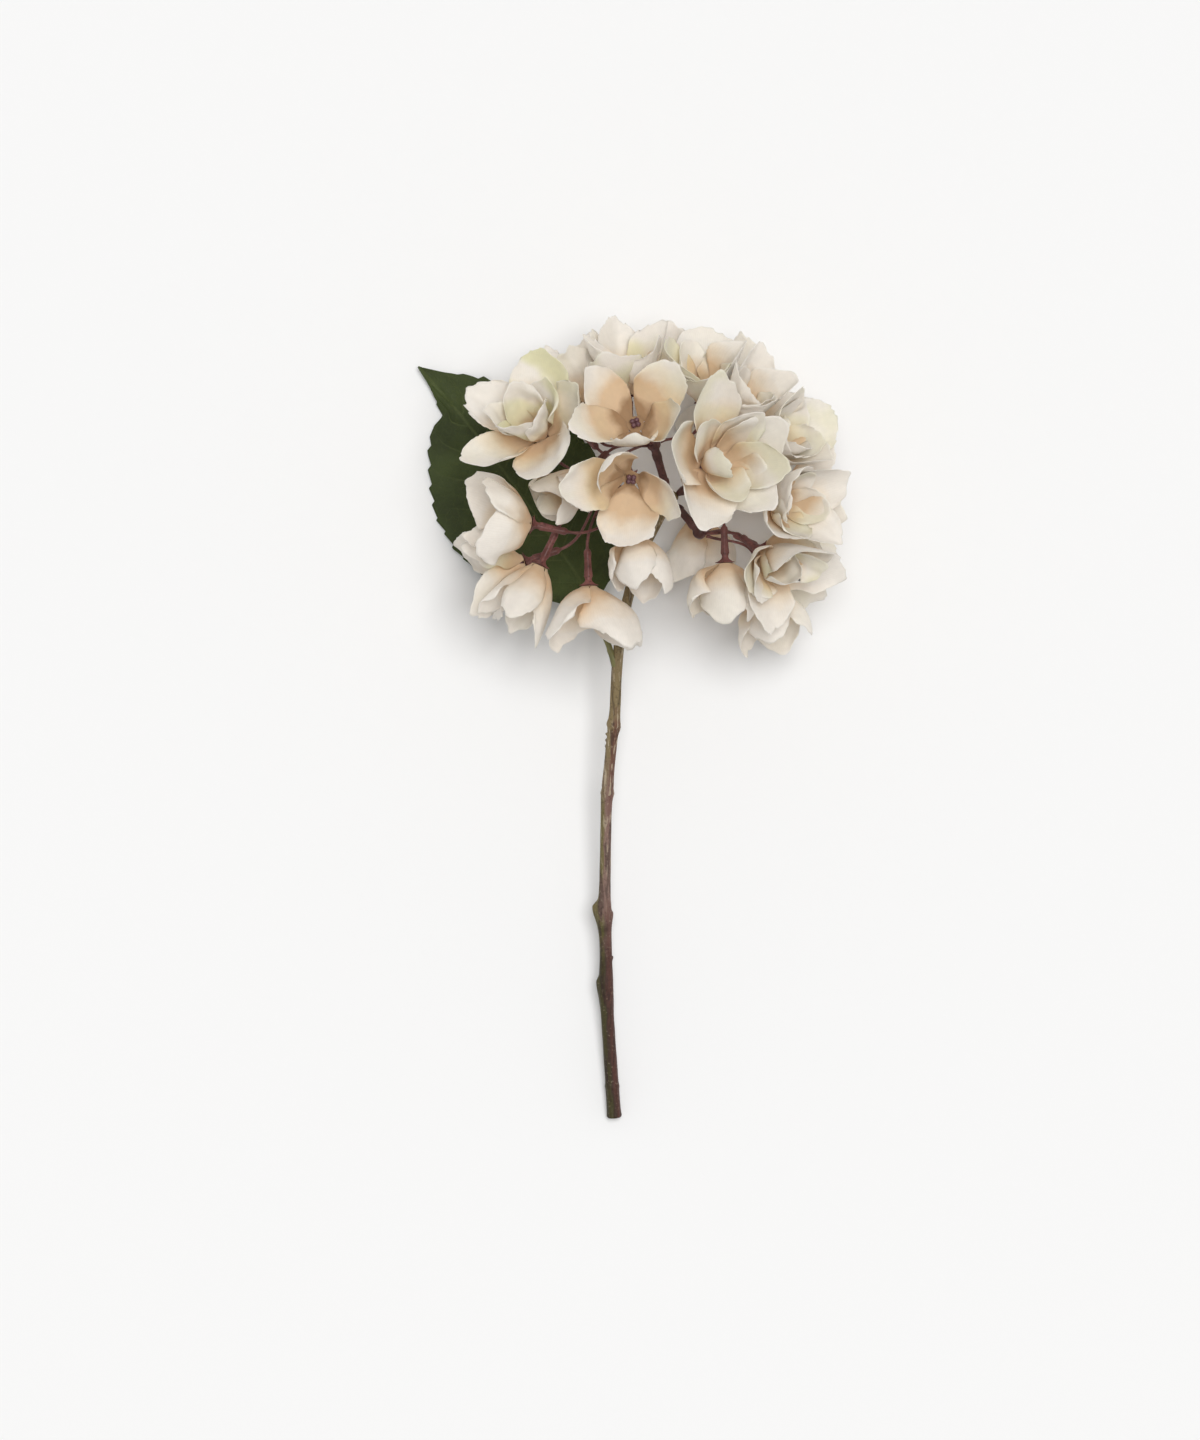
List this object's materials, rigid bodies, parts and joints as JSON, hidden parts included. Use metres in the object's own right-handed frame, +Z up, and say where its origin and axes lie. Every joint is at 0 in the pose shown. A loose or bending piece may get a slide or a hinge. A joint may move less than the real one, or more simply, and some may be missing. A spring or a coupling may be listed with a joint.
{
  "type": "artificial cut hydrangea",
  "caption": "Cut hydrangea stem lying down: a domed head of broad cream florets on slender dark red stalks, a straight noded stem and one serrated dark green leaf.",
  "frame": {"origin": "centre of the flower's box in X and Y, on the surface it lies on", "axes": "+Y from the cut end of the stem to the head, +Z up from the surface, +X across"},
  "size_m": [0.188, 0.3502, 0.1327],
  "materials": {
    "petals": "matt cream cloth, peach towards the eye and paler at the edge",
    "pedicels": "satin dark red-brown moulding",
    "branches": "satin dark maroon moulding",
    "stem": "matt olive green turning maroon-brown towards the cut end",
    "leaf": "dark green printed cloth with paler veins",
    "petiole": "matt yellow-green"
  },
  "bodies": {
    "root": {"floret_01": "petals", "floret_02": "petals", "floret_03": "petals", "floret_04": "petals", "floret_05": "petals", "floret_06": "petals", "floret_07": "petals", "floret_08": "petals", "floret_09": "petals", "floret_10": "petals", "floret_11": "petals", "floret_12": "petals", "floret_13": "petals", "floret_14": "petals", "floret_15": "petals", "floret_16": "petals", "floret_17": "petals", "floret_18": "petals", "floret_19": "petals", "floret_20": "petals", "floret_21": "petals", "floret_22": "petals", "floret_23": "petals", "floret_24": "petals", "floret_25": "petals", "floret_26": "petals", "pedicel_01": "pedicels", "pedicel_02": "pedicels", "pedicel_03": "pedicels", "pedicel_04": "pedicels", "pedicel_05": "pedicels", "pedicel_06": "pedicels", "pedicel_07": "pedicels", "pedicel_08": "pedicels", "pedicel_09": "pedicels", "pedicel_10": "pedicels", "pedicel_11": "pedicels", "pedicel_12": "pedicels", "pedicel_13": "pedicels", "pedicel_14": "pedicels", "pedicel_15": "pedicels", "pedicel_16": "pedicels", "pedicel_17": "pedicels", "pedicel_18": "pedicels", "pedicel_19": "pedicels", "pedicel_20": "pedicels", "pedicel_21": "pedicels", "pedicel_22": "pedicels", "pedicel_23": "pedicels", "pedicel_24": "pedicels", "pedicel_25": "pedicels", "pedicel_26": "pedicels", "branch_left": "branches", "branch_top": "branches", "branch_right": "branches", "branch_low_right": "branches", "branch_low_left": "branches", "stem": "stem", "leaf_blade": "leaf", "leaf_petiole": "petiole"}
  },
  "joints": []
}
